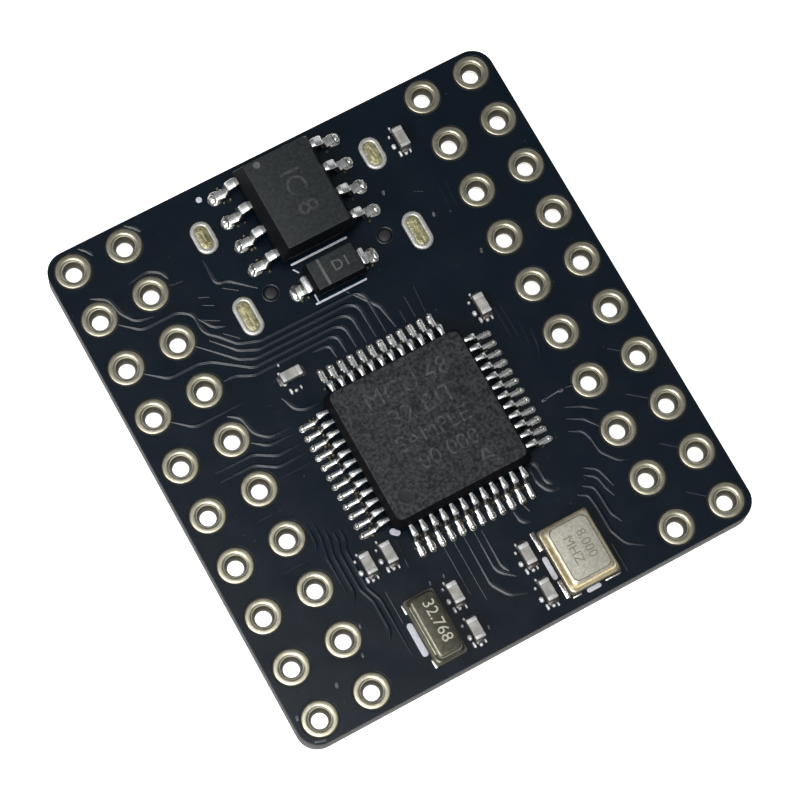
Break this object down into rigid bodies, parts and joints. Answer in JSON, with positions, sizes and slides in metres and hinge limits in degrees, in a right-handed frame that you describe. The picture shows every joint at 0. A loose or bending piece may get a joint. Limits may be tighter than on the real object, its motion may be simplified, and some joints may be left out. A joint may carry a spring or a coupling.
{
  "type": "microcontroller development board",
  "caption": "Small dark square-cornered controller board with double rows of plated pin holes, surface-mounted chips and crystals, USB-C socket and push buttons below.",
  "frame": {"origin": "under the middle of the board, level with the underside of the USB-C shell", "axes": "+Z out of the face with the controller, +Y towards the USB-C mouth, +X across the board"},
  "size_m": [0.0226, 0.025, 0.0059],
  "materials": {
    "solder_mask": "satin",
    "moulded_epoxy": "matt, fine grain",
    "tinned_lead": "bright tin",
    "solder": "reflowed",
    "plated_copper": "tarnished tin over copper",
    "silkscreen": "printed ink",
    "crystal_ceramic": "matt",
    "crystal_lid": "satin",
    "dark_crystal_lid": "satin",
    "chip_ceramic": "matt",
    "chip_resistor": "satin",
    "shell_steel": "drawn",
    "black_plastic": "matt",
    "contact_gold": "bright",
    "spring_steel": "bright",
    "plunger_plastic": "satin",
    "light_base": "matt",
    "light_lens": "clear"
  },
  "bodies": {
    "board": {"analog_supply_capacitor": "chip_ceramic", "boot_button_base": "black_plastic", "boot_button_cover": "spring_steel", "boot_button_dome": "spring_steel", "boot_button_terminal_far": "tinned_lead", "boot_button_terminal_near": "tinned_lead", "controller_body": "moulded_epoxy", "controller_capacitor_left": "chip_ceramic", "controller_capacitor_right": "chip_ceramic", "controller_leads_far_side": "tinned_lead", "controller_leads_left": "tinned_lead", "controller_leads_right": "tinned_lead", "controller_leads_usb_side": "tinned_lead", "diode_body": "moulded_epoxy", "diode_leads_left": "tinned_lead", "diode_leads_right": "tinned_lead", "main_crystal_capacitor_far": "chip_ceramic", "main_crystal_capacitor_near": "chip_ceramic", "main_crystal_lid": "crystal_lid", "main_crystal_tray": "crystal_ceramic", "memory_chip_body": "moulded_epoxy", "memory_chip_capacitor": "chip_ceramic", "memory_chip_leads_left": "tinned_lead", "memory_chip_leads_right": "tinned_lead", "pcb": "solder_mask", "power_light_base": "light_base", "power_light_lens": "light_lens", "power_light_resistor": "chip_resistor", "regulator_body": "moulded_epoxy", "regulator_input_capacitor": "chip_ceramic", "regulator_leads_left": "tinned_lead", "regulator_leads_right": "tinned_lead", "regulator_output_capacitor": "chip_ceramic", "reset_button_base": "black_plastic", "reset_button_cover": "spring_steel", "reset_button_dome": "spring_steel", "reset_button_terminal_far": "tinned_lead", "reset_button_terminal_near": "tinned_lead", "reset_line_capacitor": "chip_ceramic", "usb_contacts_board_side": "contact_gold", "usb_contacts_outer_side": "contact_gold", "usb_housing": "black_plastic", "usb_leg_solder_front_left": "solder", "usb_leg_solder_front_right": "solder", "usb_leg_solder_rear_left": "solder", "usb_leg_solder_rear_right": "solder", "usb_mid_plate": "spring_steel", "usb_sense_resistor_left": "chip_resistor", "usb_sense_resistor_right": "chip_resistor", "usb_shell": "shell_steel", "user_light_base": "light_base", "user_light_lens": "light_lens", "user_light_resistor": "chip_resistor", "watch_crystal_capacitor_far": "chip_ceramic", "watch_crystal_capacitor_near": "chip_ceramic", "watch_crystal_lid": "dark_crystal_lid", "watch_crystal_tray": "crystal_ceramic"},
    "reset_plunger": {"reset_button_plunger": "plunger_plastic"},
    "boot_plunger": {"boot_button_plunger": "plunger_plastic"}
  },
  "joints": [
    {"name": "reset_press", "type": "slide", "parent": "board", "child": "reset_plunger", "axis": [0, 0, 1], "range_m": [0, 0.00025], "stiffness_N_per_m": 6400, "deforming": ["reset_button_dome"]},
    {"name": "boot_press", "type": "slide", "parent": "board", "child": "boot_plunger", "axis": [0, 0, 1], "range_m": [0, 0.00025], "stiffness_N_per_m": 6400, "deforming": ["boot_button_dome"]}
  ]
}
